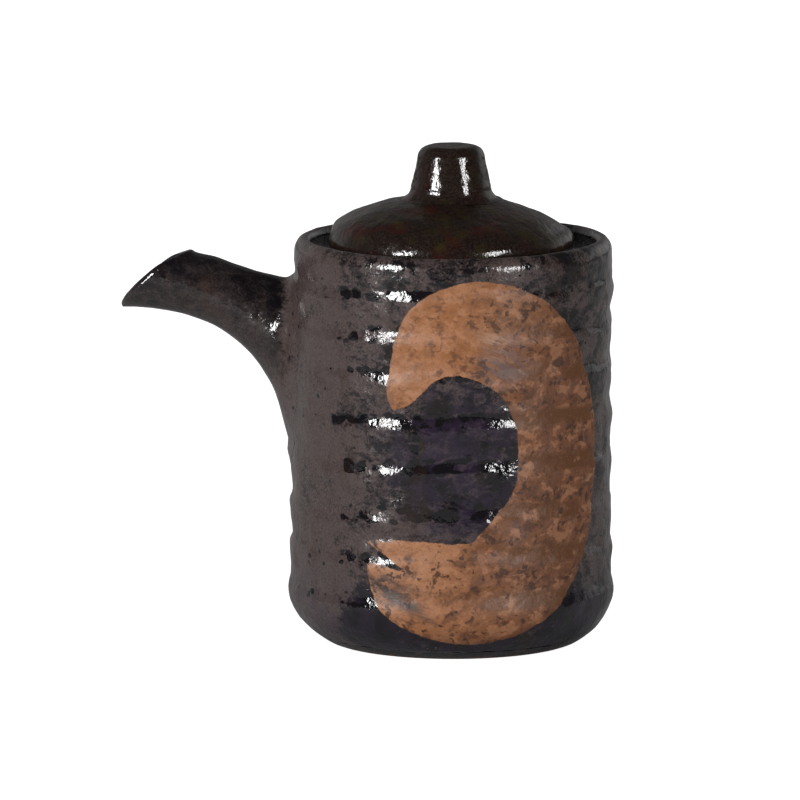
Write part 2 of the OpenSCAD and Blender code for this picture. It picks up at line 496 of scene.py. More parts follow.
def mark_glaze(obj):
    """Stores where the brush stroke is, and where the glaze is black and glossy and where grey and
    dull: partly the glaze's own pools and dulled skin, partly painted reflection and painted shade.
    """
    points = points_of(obj)
    shelf = shelves(points)
    edge, along, across = stroke_at(points)
    arc = wall_arc(points)
    thin = np.zeros(len(points))
    near = edge < 3
    for streak in STROKE_THIN:
        cover = 1 - smooth(reach(streak, arc[near], points[near, 2]), -0.9, 0.7)
        thin[near] = np.maximum(thin[near], cover)
    values = {"shelf": shelf, "pool_and_dark_reflection": pooling_and_dark_reflection(points, shelf), "grey_skin_and_painted_light": grey_skin_and_painted_light(points),
              "spout_share": spout_share(points), "stroke_edge": edge, "stroke_along": along,
              "stroke_across": across, "hook_inside": hook_inside(points), "stroke_thin": thin}
    for name, value in values.items():
        layer = obj.data.attributes.new(name, "FLOAT", "POINT")
        layer.data.foreach_set("value", np.asarray(value, np.float32))


# ---------------- pot

POT_COLUMNS = 420


def pot_line():
    """Half section of the pot without spout, from the underside round to the inside."""
    heel_z = np.linspace(FOOT_TOP, BELLY_Z, 26)[:-1]
    heel = np.stack([heel_radius(heel_z), heel_z], 1)
    wall_z = np.linspace(BELLY_Z, LIP_START_Z, 170)
    wall = np.stack([wall_radius(0.0, wall_z), wall_z], 1)
    outer = resample(np.vstack([heel, wall]), 0.47)
    over = (outer[-1, 0] - LIP_CREST_R, RIM_Z - LIP_START_Z)
    inward = (LIP_CREST_R - CAVITY_R, RIM_Z - LIP_INSIDE_Z)
    lip = np.vstack([arc_line((LIP_CREST_R, LIP_START_Z), over, 0, 90, 14)[1:],
                     arc_line((LIP_CREST_R, LIP_INSIDE_Z), inward, 90, 180, 8)[1:]])
    inner_z = np.linspace(LIP_INSIDE_Z, FLOOR_Z + FLOOR_CORNER, 36)[1:]
    inner_r = CAVITY_R + 0.18 * np.sin((LIP_INSIDE_Z - inner_z) * 2 * np.pi / 7.4)
    inner = np.stack([inner_r, inner_z], 1)
    corner_at = (CAVITY_R - FLOOR_CORNER, FLOOR_Z + FLOOR_CORNER)
    corner = arc_line(corner_at, FLOOR_CORNER, 0, -90, 8)[1:]
    floor = np.stack([np.linspace(CAVITY_R - FLOOR_CORNER, 0, 9)[1:], np.full(8, FLOOR_Z)], 1)
    under = [(0, FOOT_TOP + 0.1), (12, FOOT_TOP + 0.1), (FOOT_INNER_R + 1, FOOT_TOP + 0.05)]
    return np.vstack([under, outer, lip, inner, corner, floor])


def pot_shape(points, push):
    """Turns the even section into a thrown pot: wandering rings, then glaze."""
    points = points.copy()
    z = points[:, 2]
    radius = axis_distance(points)
    angle = np.arctan2(points[:, 1], points[:, 0])
    outside = (radius > CAVITY_R + 1.2) & (z >= BELLY_Z) & (z <= LIP_START_Z)
    shift = np.where(outside, wall_radius(angle, z) - wall_radius(0.0, z), 0)
    oval = 0.10 * np.cos(2 * angle + 0.7) * smooth(z, 20, RIM_Z)
    points[:, :2] *= (1 + (shift + oval) / np.maximum(radius, 1))[:, None]
    points[:, 2] += 0.12 * np.sin(angle * 2 + 1.0) * smooth(z, 70, RIM_Z)
    keep = smooth(z, FOOT_TOP - 1.2, FOOT_TOP + 1.5)
    return points + push * (pot_relief(points) * keep)[:, None] + lean(points)


def cut_pour_hole(obj):
    """Bores the sloping hole through the wall behind the spout."""
    climb = math.radians(POUR_CLIMB)
    middle = Vector((POUR_X, 0, POUR_Z))
    along = Vector((-math.cos(climb), 0, math.sin(climb)))
    side = Vector((0, 1, 0))
    up = along.cross(side)
    columns = 64
    ring = [side * (POUR_D / 2 * math.cos(a)) + up * (POUR_D / 2 * math.sin(a))
            for a in (2 * math.pi * i / columns for i in range(columns))]
    ends = [middle - along * POUR_INWARD, middle + along * POUR_OUTWARD]
    verts = [tuple(e + r) for e in ends for r in ring]
    faces = [(i, (i + 1) % columns, columns + (i + 1) % columns, columns + i)
             for i in range(columns)]
    faces += [tuple(range(columns - 1, -1, -1)), tuple(range(columns, 2 * columns))]
    mesh = bpy.data.meshes.new("pour_cutter")
    mesh.from_pydata((np.array(verts) * MM).tolist(), [], faces)
    cutter = in_scene("pour_cutter", mesh)
    hole = obj.modifiers.new("pour_hole", "BOOLEAN")
    hole.object = cutter
    hole.operation = "DIFFERENCE"
    hole.solver = "EXACT"
    evaluated = obj.evaluated_get(bpy.context.evaluated_depsgraph_get())
    result = bpy.data.meshes.new_from_object(evaluated)
    obj.modifiers.clear()
    obj.data = result
    bpy.data.objects.remove(cutter)
    bpy.data.meshes.remove(mesh)


def build_pot():
    pot = turned("pot_shell", pot_line(), POT_COLUMNS, "pot", pot_shape)
    cut_pour_hole(pot)
    mark_glaze(pot)
    sharpen(pot, 50)
    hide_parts("pot_body")
    return pot


def build_foot():
    """Foot ring: glazed outside, turned flat and bare where it rests."""
    outer_z = np.linspace(0.25, FOOT_TOP, 6)
    outer = np.stack([heel_radius(outer_z), outer_z], 1)
    bottom = resample([(FOOT_INNER_R + 0.3, 0), (FOOT_R - 0.15, 0)], 0.45)
    inner = [(FOOT_INNER_R - 1.2, FOOT_TOP + 0.1), (FOOT_INNER_R - 0.9, FOOT_TOP),
             (FOOT_INNER_R - 0.25, 0.7), (FOOT_INNER_R, 0.25)]
    section = np.vstack([inner, bottom, outer, [(heel_radius(FOOT_TOP) - 1, FOOT_TOP + 0.1)]])
    return ring_piece("pot_foot", section, POT_COLUMNS, "pot", foot_shape,
                      "foot_ring")


def foot_shape(points, push):
    z = points[:, 2]
    radius = axis_distance(points)
    outside = smooth(radius, FOOT_R - 0.3, FOOT_R + 0.6)
    keep = smooth(z, FOOT_TOP - 1.2, FOOT_TOP + 1.5)
    marks = 0.03 * field(np.stack([radius, z, z * 0], 1), 0.6, 12) * (1 - outside)
    grit = 0.02 * field(points, 0.8, 13)
    height = pot_relief(points) * keep * outside + np.minimum(marks + grit, 0.0)
    moved = points + push * height[:, None] + lean(points)
    moved[:, 2] = np.maximum(moved[:, 2], 0)
    return moved


def ring_piece(name, section, columns, body, shape, node):
    """A closed turned ring: section is a closed loop (r, z), anticlockwise."""
    section = np.asarray(section, float)
    slope = np.roll(section, -1, axis=0) - np.roll(section, 1, axis=0)
    normal = np.stack([slope[:, 1], -slope[:, 0]], 1)
    normal /= np.linalg.norm(normal, axis=1)[:, None]
    points = shape(spin(section, columns), spin(normal, columns))
    obj = make_object(name, points, tube_faces(len(section), columns, closed=True), body)
    sharpen(obj, 40)
    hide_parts(node)
    return obj


def build_seat():
    """Ledge inside the rim that carries the lid."""
    nose_r = SEAT_R + SEAT_T / 2
    top = resample([(CAVITY_R + 0.4, SEAT_Z), (nose_r, SEAT_Z)], 0.5)
    nose = arc_line((nose_r, SEAT_Z - SEAT_T / 2), SEAT_T / 2, 90, 270, 8)
    under = resample([(nose_r, SEAT_Z - SEAT_T), (CAVITY_R + 0.4, SEAT_LOW.z)], 0.8)
    section = np.vstack([top, nose[1:], under[1:]])
    return ring_piece("pot_ledge", section, 260, "pot", soft_shape, "lid_seat")


def soft_shape(points, push):
    height = 0.05 * field(points, 6, 21) + 0.02 * field(points, 1.8, 22)
    return points + push * np.minimum(height, 0.0)[:, None]


# ---------------- spout

SPOUT_COLUMNS = 132


def spout_base(t):
    """Section of the spout at t along it: its middle and the direction of its top, both
    as (distance from axis, height), then half its height and half its width."""
    top = bezier(SPOUT_TOP, t)
    low = bezier(SPOUT_LOW_LINE, t)
    middle = (top + low) / 2
    span = np.linalg.norm(top - low, axis=-1)
    rise = (top - low) / span[..., None]
    wide = SPOUT_MOUTH_W / 2 + (SPOUT_ROOT_W - SPOUT_MOUTH_W) / 2 * (1 - t) ** SPOUT_NECK_POWER
    return middle, rise, span / 2, wide


def spout_point(t, a, inset=0.0, lift=0.0):
    """Point on the spout's skin: t along it, a round it from the top, inset under the
    skin and lift ahead of its section."""
    middle, rise, tall, wide = spout_base(t)
    flow = np.stack([rise[..., 1], -rise[..., 0]], -1)
    forward = lift + MOUTH_BULGE * np.sin(a) ** 2 * smooth(t, 0.7, 1.0)
    flat = middle + rise * ((tall - inset) * np.cos(a))[..., None] + flow * forward[..., None]
    flat[..., 1] -= SPOUT_DROOP * smooth(t, 0.82, 1.0) * smooth(np.cos(a), 0.3, 1.0)
    side = (wide - inset) * np.sin(a)
    wrap = (WALL_R - np.sqrt(WALL_R ** 2 - np.minimum(side, WALL_R - 1) ** 2)) * (1 - t) ** 2
    return np.stack([-(flat[..., 0] - wrap), side, flat[..., 1]], -1)


def wall_distance(points):
    """How far points stand off the outer wall."""
    angle = np.arctan2(points[..., 1], points[..., 0])
    return np.hypot(points[..., 0], points[..., 1]) - wall_radius(angle, points[..., 2])


def spout_loop_at(distance, a, spread):
    """Loop of the skin where it stands distance off the wall, moved out along the wall
    by spread, away from the middle of the spout. Returns it and its places t."""
    steps = np.linspace(0, 0.6, 241)
    grid = spout_point(*np.broadcast_arrays(steps[:, None], a[None, :]))
    off = np.maximum.accumulate(wall_distance(grid), axis=0)
    t = np.array([np.interp(max(distance[i], off[0, i] + 1e-6), off[:, i], steps)
                  for i in range(len(a))])
    base = spout_point(t, a)
    tall, wide = spout_base(t)[2:]
    across = np.stack([np.sin(a) / wide, np.cos(a) / tall], -1)
    across /= np.linalg.norm(across, axis=-1)[:, None]
    angle = np.arctan2(base[:, 1], -base[:, 0]) + spread * across[:, 0] / WALL_R
    z = base[:, 2] + spread * across[:, 1]
    radius = wall_radius(np.pi - angle, z) + distance
    return np.stack([-radius * np.cos(angle), radius * np.sin(angle), z], -1), t


def spout_grid():
    """Loops of the spout, from inside the wall over the fillet, along the skin, round the
    lip of the mouth and back down the inside."""
    a = np.linspace(0, 2 * np.pi, SPOUT_COLUMNS, endpoint=False)
    rows = []
    fillet = SPOUT_FILLET_TOP + (SPOUT_FILLET_SIDE - SPOUT_FILLET_TOP) * smooth(-np.cos(a), -1, 0.2)
    for sunk in (1.4, 0.5):
        rows.append(spout_loop_at(0 * a, a, fillet)[0] + (sunk, 0, 0))
    for turn in np.radians(np.linspace(86, 0, 16)):
        distance = fillet * (1 - math.sin(turn))
        spread = fillet * (1 - math.cos(turn))
        loop, t0 = spout_loop_at(distance, a, spread)
        rows.append(loop)
    for share in np.linspace(0, 1, 84)[1:]:
        rows.append(spout_point(t0 + (1 - t0) * share, a))
    for turn in np.radians(np.linspace(0, 180, 10))[1:-1]:
        inset = SPOUT_T / 2 * (1 - math.cos(turn))
        lift = SPOUT_T / 2 * math.sin(turn)
        rows.append(spout_point(np.ones_like(a), a, inset, lift))
    for share in np.linspace(1, 0, 34):
        rows.append(spout_point(share + 0 * a, a, SPOUT_T))
    last = spout_point(0 * a, a, SPOUT_T)
    rows.append(last + (2.4, 0, 0))
    return np.array(rows)


def build_spout():
    grid = spout_grid()
    rows, columns = grid.shape[:2]
    points = grid.reshape(-1, 3)
    spout = make_object("pot_spout", points, [f[::-1] for f in tube_faces(rows, columns, True)], "pot")
    normals = np.zeros(len(points) * 3)
    spout.data.vertices.foreach_get("normal", normals)
    normals = normals.reshape(-1, 3)
    free = smooth(wall_distance(points), 0.2, 2.5)[:, None]
    wall_push = points * (1, 1, 0)
    wall_push /= np.linalg.norm(wall_push, axis=1)[:, None]
    push = normals * free + wall_push * (1 - free)
    push /= np.linalg.norm(push, axis=1)[:, None]
    moved = points + push * pot_relief(points)[:, None] + lean(points) * (1 - free)
    spout.data.vertices.foreach_set("co", (moved * MM).ravel())
    spout.data.update()
    mark_glaze(spout)
    sharpen(spout, 60)
    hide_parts("spout")
    return spout


# ---------------- lid


def lid_relief(points):
    """Uneven dome, fuller on the left, with the glaze's relief."""
    radius = axis_distance(points)
    left = -(points[:, 0] * math.cos(math.radians(VIEW_AZIMUTH))
             + points[:, 1] * math.sin(math.radians(VIEW_AZIMUTH)))
    on_dome = smooth(radius, 8.5, 14) * (1 - smooth(radius, 22.5, 24))
    fuller = 0.5 * left / 18 * on_dome * smooth(points[:, 2], EDGE_Z, EDGE_Z + 1.5)
    at_knob = smooth(np.abs(radius - LAND_R), 0, 1.2)
    at_knob = np.where(points[:, 2] > KNOB_LOW.z + 2, 1, at_knob)
    return glaze_relief(points + (40, 0, 0)) * 0.8 * at_knob + fuller


def lid_shape(points, push):
    return points + push * lid_relief(points)[:, None]


def build_dome():
    hollow_a = np.linspace(0, 90, 12)
    hollow = np.stack([HOLLOW_R * np.sin(np.radians(hollow_a)),
                       DOME_LOW.z + (HOLLOW_Z - DOME_LOW.z) * np.cos(np.radians(hollow_a))], 1)
    under = resample([(HOLLOW_R, DOME_LOW.z), (LID_R - EDGE_R, DOME_LOW.z)], 0.8)[1:]
    edge = arc_line((LID_R - EDGE_R, EDGE_Z), EDGE_R, -90, 0, 10)[1:]
    top = resample(bezier(DOME_LINE, np.linspace(0, 1, 60)), 0.42)[1:]
    land = [(LAND_R - 1.0, LAND_Z - 0.6), (4.0, LAND_Z - 0.6), (0, LAND_Z - 0.6)]
    dome = turned("lid_top", np.vstack([hollow, under, edge, top, land]), 330, "lid", lid_shape)
    sharpen(dome, 50)
    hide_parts("lid_dome")
    return dome


def build_knob():
    tilt = math.radians(DOME_SLOPE)
    centre = (LAND_R + KNOB_FILLET * math.sin(tilt), LAND_Z + KNOB_FILLET * math.cos(tilt))
    fillet = arc_line(centre, KNOB_FILLET, 270 - DOME_SLOPE, 180)
    crown = arc_line((KNOB_TOP_R - KNOB_ROUND, KNOB_TOP - KNOB_ROUND), KNOB_ROUND, 0, 90)
    stem = bezier([fillet[-1], KNOB_WAIST, crown[0]], np.linspace(0, 1, 20))
    skin = resample(np.vstack([fillet, stem[1:], crown[1:], [(0.5, KNOB_TOP)]]), 0.3)
    base = [(0, LAND_Z - 0.5), (4.0, LAND_Z - 0.5), (LAND_R - 1.2, LAND_Z - 0.5)]
    knob = turned("lid_grip", np.vstack([base, skin, [(0, KNOB_TOP)]]), 150, "lid", lid_shape)
    sharpen(knob, 50)
    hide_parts("lid_knob")
    return knob


def build_flange():
    """Locating ring under the lid, trimmed and bare."""
    r_out, r_in = FLANGE_HIGH.x, HOLLOW_R
    low, high = FLANGE_LOW.z, FLANGE_HIGH.z
    outer = resample([(r_out, low + 0.8), (r_out, high + 0.3)], 0.7)
    inner = resample([(r_in, high + 0.3), (r_in, low + 0.8)], 0.7)
    tip = arc_line(((r_out + r_in) / 2, low + 0.8), (r_out - r_in) / 2, 180, 360, 12)
    tip[:, 1] = low + 0.8 + (tip[:, 1] - low - 0.8) * 0.8 / ((r_out - r_in) / 2)
    section = np.vstack([outer, inner, tip[1:-1]])
    return ring_piece("lid_ring", section, 240, "lid", soft_shape, "lid_flange")


# ---------------- materials


class Nodes:
    """Short calls for building a node material."""

    def __init__(self, name):
        self.material = bpy.data.materials.new(name)
        self.material.use_nodes = True
        self.tree = self.material.node_tree
        self.tree.nodes.clear()
        self.shader = self.tree.nodes.new("ShaderNodeBsdfPrincipled")
        output = self.tree.nodes.new("ShaderNodeOutputMaterial")
        self.link(self.shader.outputs[0], output.inputs["Surface"])

    def link(self, out, socket):
        self.tree.links.new(out, socket)

    def put(self, socket, value):
        if isinstance(value, bpy.types.NodeSocket):
            self.link(value, socket)
        elif value is not None:
            socket.default_value = value

    def position(self, scale=(1, 1, 1), offset=(0, 0, 0)):
        """Object coordinates in mm, scaled."""
        coords = self.tree.nodes.new("ShaderNodeTexCoord")
        mapping = self.tree.nodes.new("ShaderNodeMapping")
        mapping.inputs["Scale"].default_value = [s / MM for s in scale]
        mapping.inputs["Location"].default_value = offset
        self.link(coords.outputs["Object"], mapping.inputs["Vector"])
        return mapping.outputs[0]

    def noise(self, vector, size, detail=4.0, rough=0.55, distortion=0.0):
        node = self.tree.nodes.new("ShaderNodeTexNoise")
        self.link(vector, node.inputs["Vector"])
        node.inputs["Scale"].default_value = 1.0 / size
        node.inputs["Detail"].default_value = detail
        node.inputs["Roughness"].default_value = rough
        node.inputs["Distortion"].default_value = distortion
        return node.outputs["Fac"]

    def cells(self, vector, size):
        """Distance from the middle of the nearest of scattered cells."""
        node = self.tree.nodes.new("ShaderNodeTexVoronoi")
        self.link(vector, node.inputs["Vector"])
        node.inputs["Scale"].default_value = 1.0 / size
        return node.outputs["Distance"]

    def attribute(self, name):
        node = self.tree.nodes.new("ShaderNodeAttribute")
        node.attribute_name = name
        return node.outputs["Fac"]

    def step(self, value, low, high, to_low=0.0, to_high=1.0):
        node = self.tree.nodes.new("ShaderNodeMapRange")
        node.interpolation_type = "SMOOTHSTEP"
        self.put(node.inputs["Value"], value)
        for name, v in (("From Min", low), ("From Max", high), ("To Min", to_low), ("To Max", to_high)):
            node.inputs[name].default_value = v
        return node.outputs[0]

    def math(self, kind, a, b=None):
        node = self.tree.nodes.new("ShaderNodeMath")
        node.operation = kind
        self.put(node.inputs[0], a)
        if b is not None:
            self.put(node.inputs[1], b)
        return node.outputs[0]

    def times(self, a, b):
        return self.math("MULTIPLY", a, b)

    def plus(self, a, b):
        return self.math("ADD", a, b)

    def minus(self, a, b):
        return self.math("SUBTRACT", a, b)

    def mix(self, factor, a, b):
        node = self.tree.nodes.new("ShaderNodeMix")
        node.data_type = "RGBA"
        self.put(node.inputs["Factor"], factor)
        for socket, value in ((node.inputs[6], a), (node.inputs[7], b)):
            self.put(socket, (*value, 1.0) if isinstance(value, tuple) else value)
        return node.outputs[2]

    def close_to(self, vector, place, far, near):
        """1 within near mm of a place, 0 beyond far mm."""
        node = self.tree.nodes.new("ShaderNodeVectorMath")
        node.operation = "DISTANCE"
        self.link(vector, node.inputs[0])
        node.inputs[1].default_value = place
        return self.step(node.outputs["Value"], far, near)

    def combine(self, x, y, z):
        node = self.tree.nodes.new("ShaderNodeCombineXYZ")
        for socket, value in zip(node.inputs, (x, y, z)):
            self.put(socket, value)
        return node.outputs[0]

    def axis(self, vector, which):
        node = self.tree.nodes.new("ShaderNodeSeparateXYZ")
        self.link(vector, node.inputs[0])
        return node.outputs[which]

    def bump(self, height, depth_mm, before=None):
        node = self.tree.nodes.new("ShaderNodeBump")
        node.inputs["Strength"].default_value = 1.0
        node.inputs["Distance"].default_value = depth_mm * MM
        self.link(height, node.inputs["Height"])
        if before is not None:
            self.link(before, node.inputs["Normal"])
        return node.outputs[0]

    def finish(self, color, roughness, normal=None, ior=1.5):
        self.put(self.shader.inputs["Base Color"], (*color, 1.0) if isinstance(color, tuple) else color)
        self.put(self.shader.inputs["Roughness"], roughness)
        self.shader.inputs["IOR"].default_value = ior
        if normal is not None:
            self.link(normal, self.shader.inputs["Normal"])
        return self.material


# The glaze's black. It also stands in as painted dark reflection in the pools at the front and the
# hollow of the hook, and as painted shade in the valley by the spout.
BLACK_GLAZE = (0.0085, 0.0072, 0.0090)
# Grey of the dull glaze skin. At the edges of the wall it is painted reflection.
GREY_SKIN_AND_SHEEN = (0.106, 0.077, 0.073)
GREY_DEEP = (0.046, 0.033, 0.032)
BLUE_SKIN = (0.034, 0.022, 0.044)
GOLD_BROWN = (0.050, 0.024, 0.010)
TAN = (0.340, 0.128, 0.040)
TAN_PALE = (0.46, 0.205, 0.098)
TAN_RIGHT = (0.180, 0.062, 0.023)
TAN_GOLD = (0.145, 0.047, 0.008)
SPOT_BROWN = (0.068, 0.023, 0.009)
SPOT_GREY = (0.125, 0.085, 0.075)
VIOLET_GREY = (0.125, 0.085, 0.090)
SLIP_PALE = (0.60, 0.37, 0.24)
BARE_CLAY = (0.33, 0.155, 0.085)
BARE_CLAY_DARK = (0.20, 0.095, 0.055)
GRIT_BLACK = (0.05, 0.03, 0.022)
LID_BLACK = (0.0110, 0.0065, 0.0055)
LID_BROWN = (0.032, 0.021, 0.016)
LID_OLIVE = (0.034, 0.026, 0.008)
LID_RED = (0.042, 0.010, 0.008)


def mottled_glaze(n, where, skin, pool_and_dark_reflection, calm=0.0):
    """Dark glaze, dulled to a grey mottled skin where skin is high and black and glossy in
    the pools, with less contrast where calm is 1. The grey and the black also carry the
    painted reflection and painted shade that skin and the pools bring in. Returns its
    colour, its roughness and where it is black in the pools and painted dark reflection."""
    grain = n.noise(where, 0.42, 3.0, 0.65)
    mottle = n.step(calm, 0.0, 1.0, 1.0, 0.28)
    patches = n.noise(n.position((1, 1, 1.5), (3, 0, 0)), 2.2, 5.0, 0.6, 0.5)
    broad = n.noise(where, 8.0, 3.0, 0.6, 0.4)
    blobs = n.noise(n.position((1, 1, 1.3), (0, 6, 1)), 2.9, 3.0, 0.55, 0.3)
    ragged = n.minus(n.plus(n.times(patches, 0.9), n.times(grain, 0.35)), 0.62)
    beads = n.minus(0.44, n.cells(n.position((1, 1, 1.15), (2, 5, 3)), 2.5))
    lump = n.plus(n.times(n.minus(blobs, 0.5), 1.6), n.times(beads, 1.3))
    # Black where the glaze pools, which is partly painted dark reflection.
    pooled_and_reflecting = n.step(n.plus(n.times(pool_and_dark_reflection, 0.69), n.plus(lump, n.times(ragged, 0.4))), 0.50, 0.62)
    uneven = n.plus(n.times(ragged, 2.3), n.times(n.minus(broad, 0.5), 1.3))
    dull = n.plus(skin, n.times(uneven, mottle))
    cover = n.times(n.step(dull, 0.22, 0.85), n.minus(1.0, pooled_and_reflecting))
    tone = n.mix(n.step(grain, 0.30, 0.70), GREY_DEEP, GREY_SKIN_AND_SHEEN)
    tone = n.mix(n.step(broad, 0.38, 0.62), tone, n.mix(0.35, tone, GREY_SKIN_AND_SHEEN))
    color = n.mix(cover, BLACK_GLAZE, tone)
    rough = n.minus(n.step(cover, 0.0, 1.0, 0.105, 0.21), n.times(pooled_and_reflecting, 0.055))
    return color, rough, pooled_and_reflecting


def pebbled(n, where, depth):
    """Fine orange peel that breaks up reflections."""
    fine = n.noise(where, 0.45, 2.0, 0.55)
    coarse = n.noise(where, 1.05, 2.0, 0.5)
    return n.bump(coarse, depth * 1.2, n.bump(fine, depth * 0.25))


def brushed_tan(n, where, along, across):
    """Colour of the brush stroke, browner on its right side, with hairlines and spots.
    Returns it and the hairlines."""
    hairs = n.noise(n.combine(n.times(along, 0.10), n.times(across, 1.25), 0.0), 1.0, 5.0, 0.65)
    drawn = n.noise(n.combine(n.times(along, 0.28), n.times(across, 0.62), 3.0), 1.0, 6.0, 0.68)
    to_right = n.times(n.step(along, 18.0, 48.0), n.step(along, 112.0, 84.0))
    busy = n.step(along, 14.0, 34.0)
    tan = n.mix(n.step(n.noise(where, 6.0, 4.0, 0.6), 0.42, 0.66, 0.0, 0.8), TAN, TAN_PALE)
    tan = n.mix(n.times(to_right, 0.85), tan, TAN_RIGHT)
    tan = n.mix(n.step(along, 88.0, 106.0, 0.0, 0.35), tan, TAN_PALE)
    tan = n.mix(n.times(n.step(drawn, 0.54, 0.70), n.step(busy, 0.0, 1.0, 0.15, 0.45)),
                tan, SPOT_BROWN)
    tan = n.mix(n.times(n.step(drawn, 0.47, 0.33), n.step(busy, 0.0, 1.0, 0.2, 0.45)),
                tan, TAN_PALE)
    tan = n.mix(n.step(hairs, 0.52, 0.74, 0.0, 0.30), tan, TAN_PALE)
    tan = n.mix(n.step(hairs, 0.42, 0.26, 0.0, 0.40), tan, SPOT_BROWN)
    tan = spotted_tan(n, where, tan, busy, to_right)
    return streaked_tan(n, where, tan, hairs), hairs


def spotted_tan(n, where, tan, busy, to_right):
    """Spots in clusters, blotches, gold on the shelves of the rings, and fine specks."""
    for offset, size, low, fade, tint in (((7, 3, 1), 1.3, 0.56, 1.0, SPOT_BROWN),
                                          ((4, 8, 6), 2.1, 0.56, 0.95, SPOT_BROWN),
                                          ((1, 6, 9), 4.4, 0.60, 0.50, SPOT_GREY)):
        spots = n.noise(n.position((1, 1, 1.15), offset), size, 3.0, 0.5, 0.35)
        groups = n.noise(n.position((1, 1, 1), offset[::-1]), 6.5, 2.0, 0.5)
        cluster = n.step(groups, 0.40, 0.56, 0.2, 1.0)
        strength = n.times(cluster, n.step(busy, 0.0, 1.0, 0.5 * fade, fade))
        tan = n.mix(n.times(n.step(spots, low, low + 0.06), strength), tan, tint)
    blotch = n.noise(n.position((1, 1, 1.3), (2, 9, 4)), 3.4, 4.0, 0.58, 0.25)
    tan = n.mix(n.times(n.step(blotch, 0.54, 0.64), n.step(busy, 0.0, 1.0, 0.12, 0.55)),
                tan, SPOT_BROWN)
    tan = n.mix(n.times(n.step(blotch, 0.48, 0.38), 0.7), tan, TAN_PALE)
    gold = n.times(n.attribute("shelf"), n.step(n.noise(where, 5.0, 3.0, 0.55), 0.42, 0.50))
    tan = n.mix(n.times(gold, to_right), tan, TAN_GOLD)
    speck = n.noise(where, 0.40, 3.0, 0.65)
    tan = n.mix(n.step(speck, 0.56, 0.74, 0.0, 0.40), tan, TAN_PALE)
    return n.mix(n.step(speck, 0.44, 0.26, 0.0, 0.55), tan, SPOT_BROWN)


def streaked_tan(n, where, tan, hairs):
    """A violet-grey and a pale patch near the top, both drawn out along the brush."""
    violet = n.times(n.close_to(where, wall_spot(15.5, 60.0), 7.0, 1.5), n.step(
        hairs, 0.34, 0.60))
    tan = n.mix(n.times(violet, 0.75), tan, VIOLET_GREY)
    pale = n.times(n.close_to(where, wall_spot(14.0, 63.5), 5.0, 1.0), n.step(
        hairs, 0.48, 0.60))
    return n.mix(n.times(pale, 0.4), tan, SLIP_PALE)


def wall_spot(arc, height):
    """Place on the wall, mm, from the arc round it and the height."""
    angle = arc / WALL_R
    return (WALL_R * math.sin(angle), -WALL_R * math.cos(angle), height)


def pot_glaze(name):
    n = Nodes(name)
    where = n.position()
    height = n.axis(where, 2)
    # The grey skin and the black pools also carry painted reflection and painted shade.
    color, rough, pooled_and_reflecting = mottled_glaze(
        n, where, n.attribute("grey_skin_and_painted_light"), n.attribute("pool_and_dark_reflection"), n.attribute("spout_share"))
    runs = n.noise(n.position((1, 1, 0.3), (9, 4, 0)), 5.0, 4.0, 0.6)
    color = n.mix(n.step(runs, 0.54, 0.72, 0.0, 0.35), color, GOLD_BROWN)
    low = n.step(height, 20.0, 5.0, 0.0, 0.8)
    blue = n.times(n.math("MAXIMUM", n.attribute("hook_inside"), low),
                   n.step(n.noise(where, 4.0, 4.0, 0.6), 0.36, 0.62))
    blue = n.times(blue, n.minus(1.0, pooled_and_reflecting))
    color = n.mix(n.times(blue, 0.65), color, BLUE_SKIN)

    along = n.attribute("stroke_along")
    across = n.attribute("stroke_across")
    tan, hairs = brushed_tan(n, where, along, across)
    waver = n.times(n.minus(n.noise(where, 3.2, 3.0, 0.5), 0.5), 0.9)
    nibble = n.times(n.minus(n.noise(where, 0.8, 3.0, 0.6), 0.5), 0.32)
    edge = n.plus(n.attribute("stroke_edge"), n.plus(waver, nibble))
    dry = n.times(n.step(along, 112.0, 132.0), n.step(hairs, 0.44, 0.60, 0.0, 4.0))
    mask = n.step(n.plus(edge, dry), 0.14, -0.14)
    thin = n.times(n.attribute("stroke_thin"), n.step(hairs, 0.62, 0.40, 0.45, 0.9))
    color = n.mix(n.times(mask, n.minus(1.0, thin)), color, tan)

    chip = n.step(n.minus(n.noise(n.position((1, 1, 2), (31, 7, 2)), 2.2, 5.0, 0.6), n.step(
        height, 0.0, 9.0, 0.0, 0.16)), 0.66, 0.69)
    color = n.mix(chip, color, BARE_CLAY)

    slip_rough = n.step(hairs, 0.3, 0.7, 0.46, 0.60)
    rough = n.plus(n.times(rough, n.minus(1.0, mask)),
                   n.times(slip_rough, mask))
    return n.finish(color, rough, pebbled(n, where, 0.095), GLAZE_IOR)


def lid_glaze(name, tint):
    n = Nodes(name)
    where = n.position()
    grain = n.noise(where, 0.45, 3.0, 0.65)
    color = n.mix(n.step(grain, 0.35, 0.7), LID_BLACK, LID_BROWN)
    olive = n.step(n.noise(n.position((1, 1, 1), (5, 5, 5)), 4.5, 4.0, 0.6, 0.5), 0.50, 0.70, 0.0, tint)
    red = n.step(n.noise(n.position((1, 1, 1), (15, 2, 8)), 6.0, 4.0, 0.6, 0.4), 0.50, 0.72, 0.0, tint)
    color = n.mix(olive, color, LID_OLIVE)
    color = n.mix(red, color, LID_RED)
    gloss = n.step(n.noise(where, 1.3, 4.0, 0.6), 0.3, 0.75, 0.09, 0.20)
    return n.finish(color, gloss, pebbled(n, where, 0.085), GLAZE_IOR)


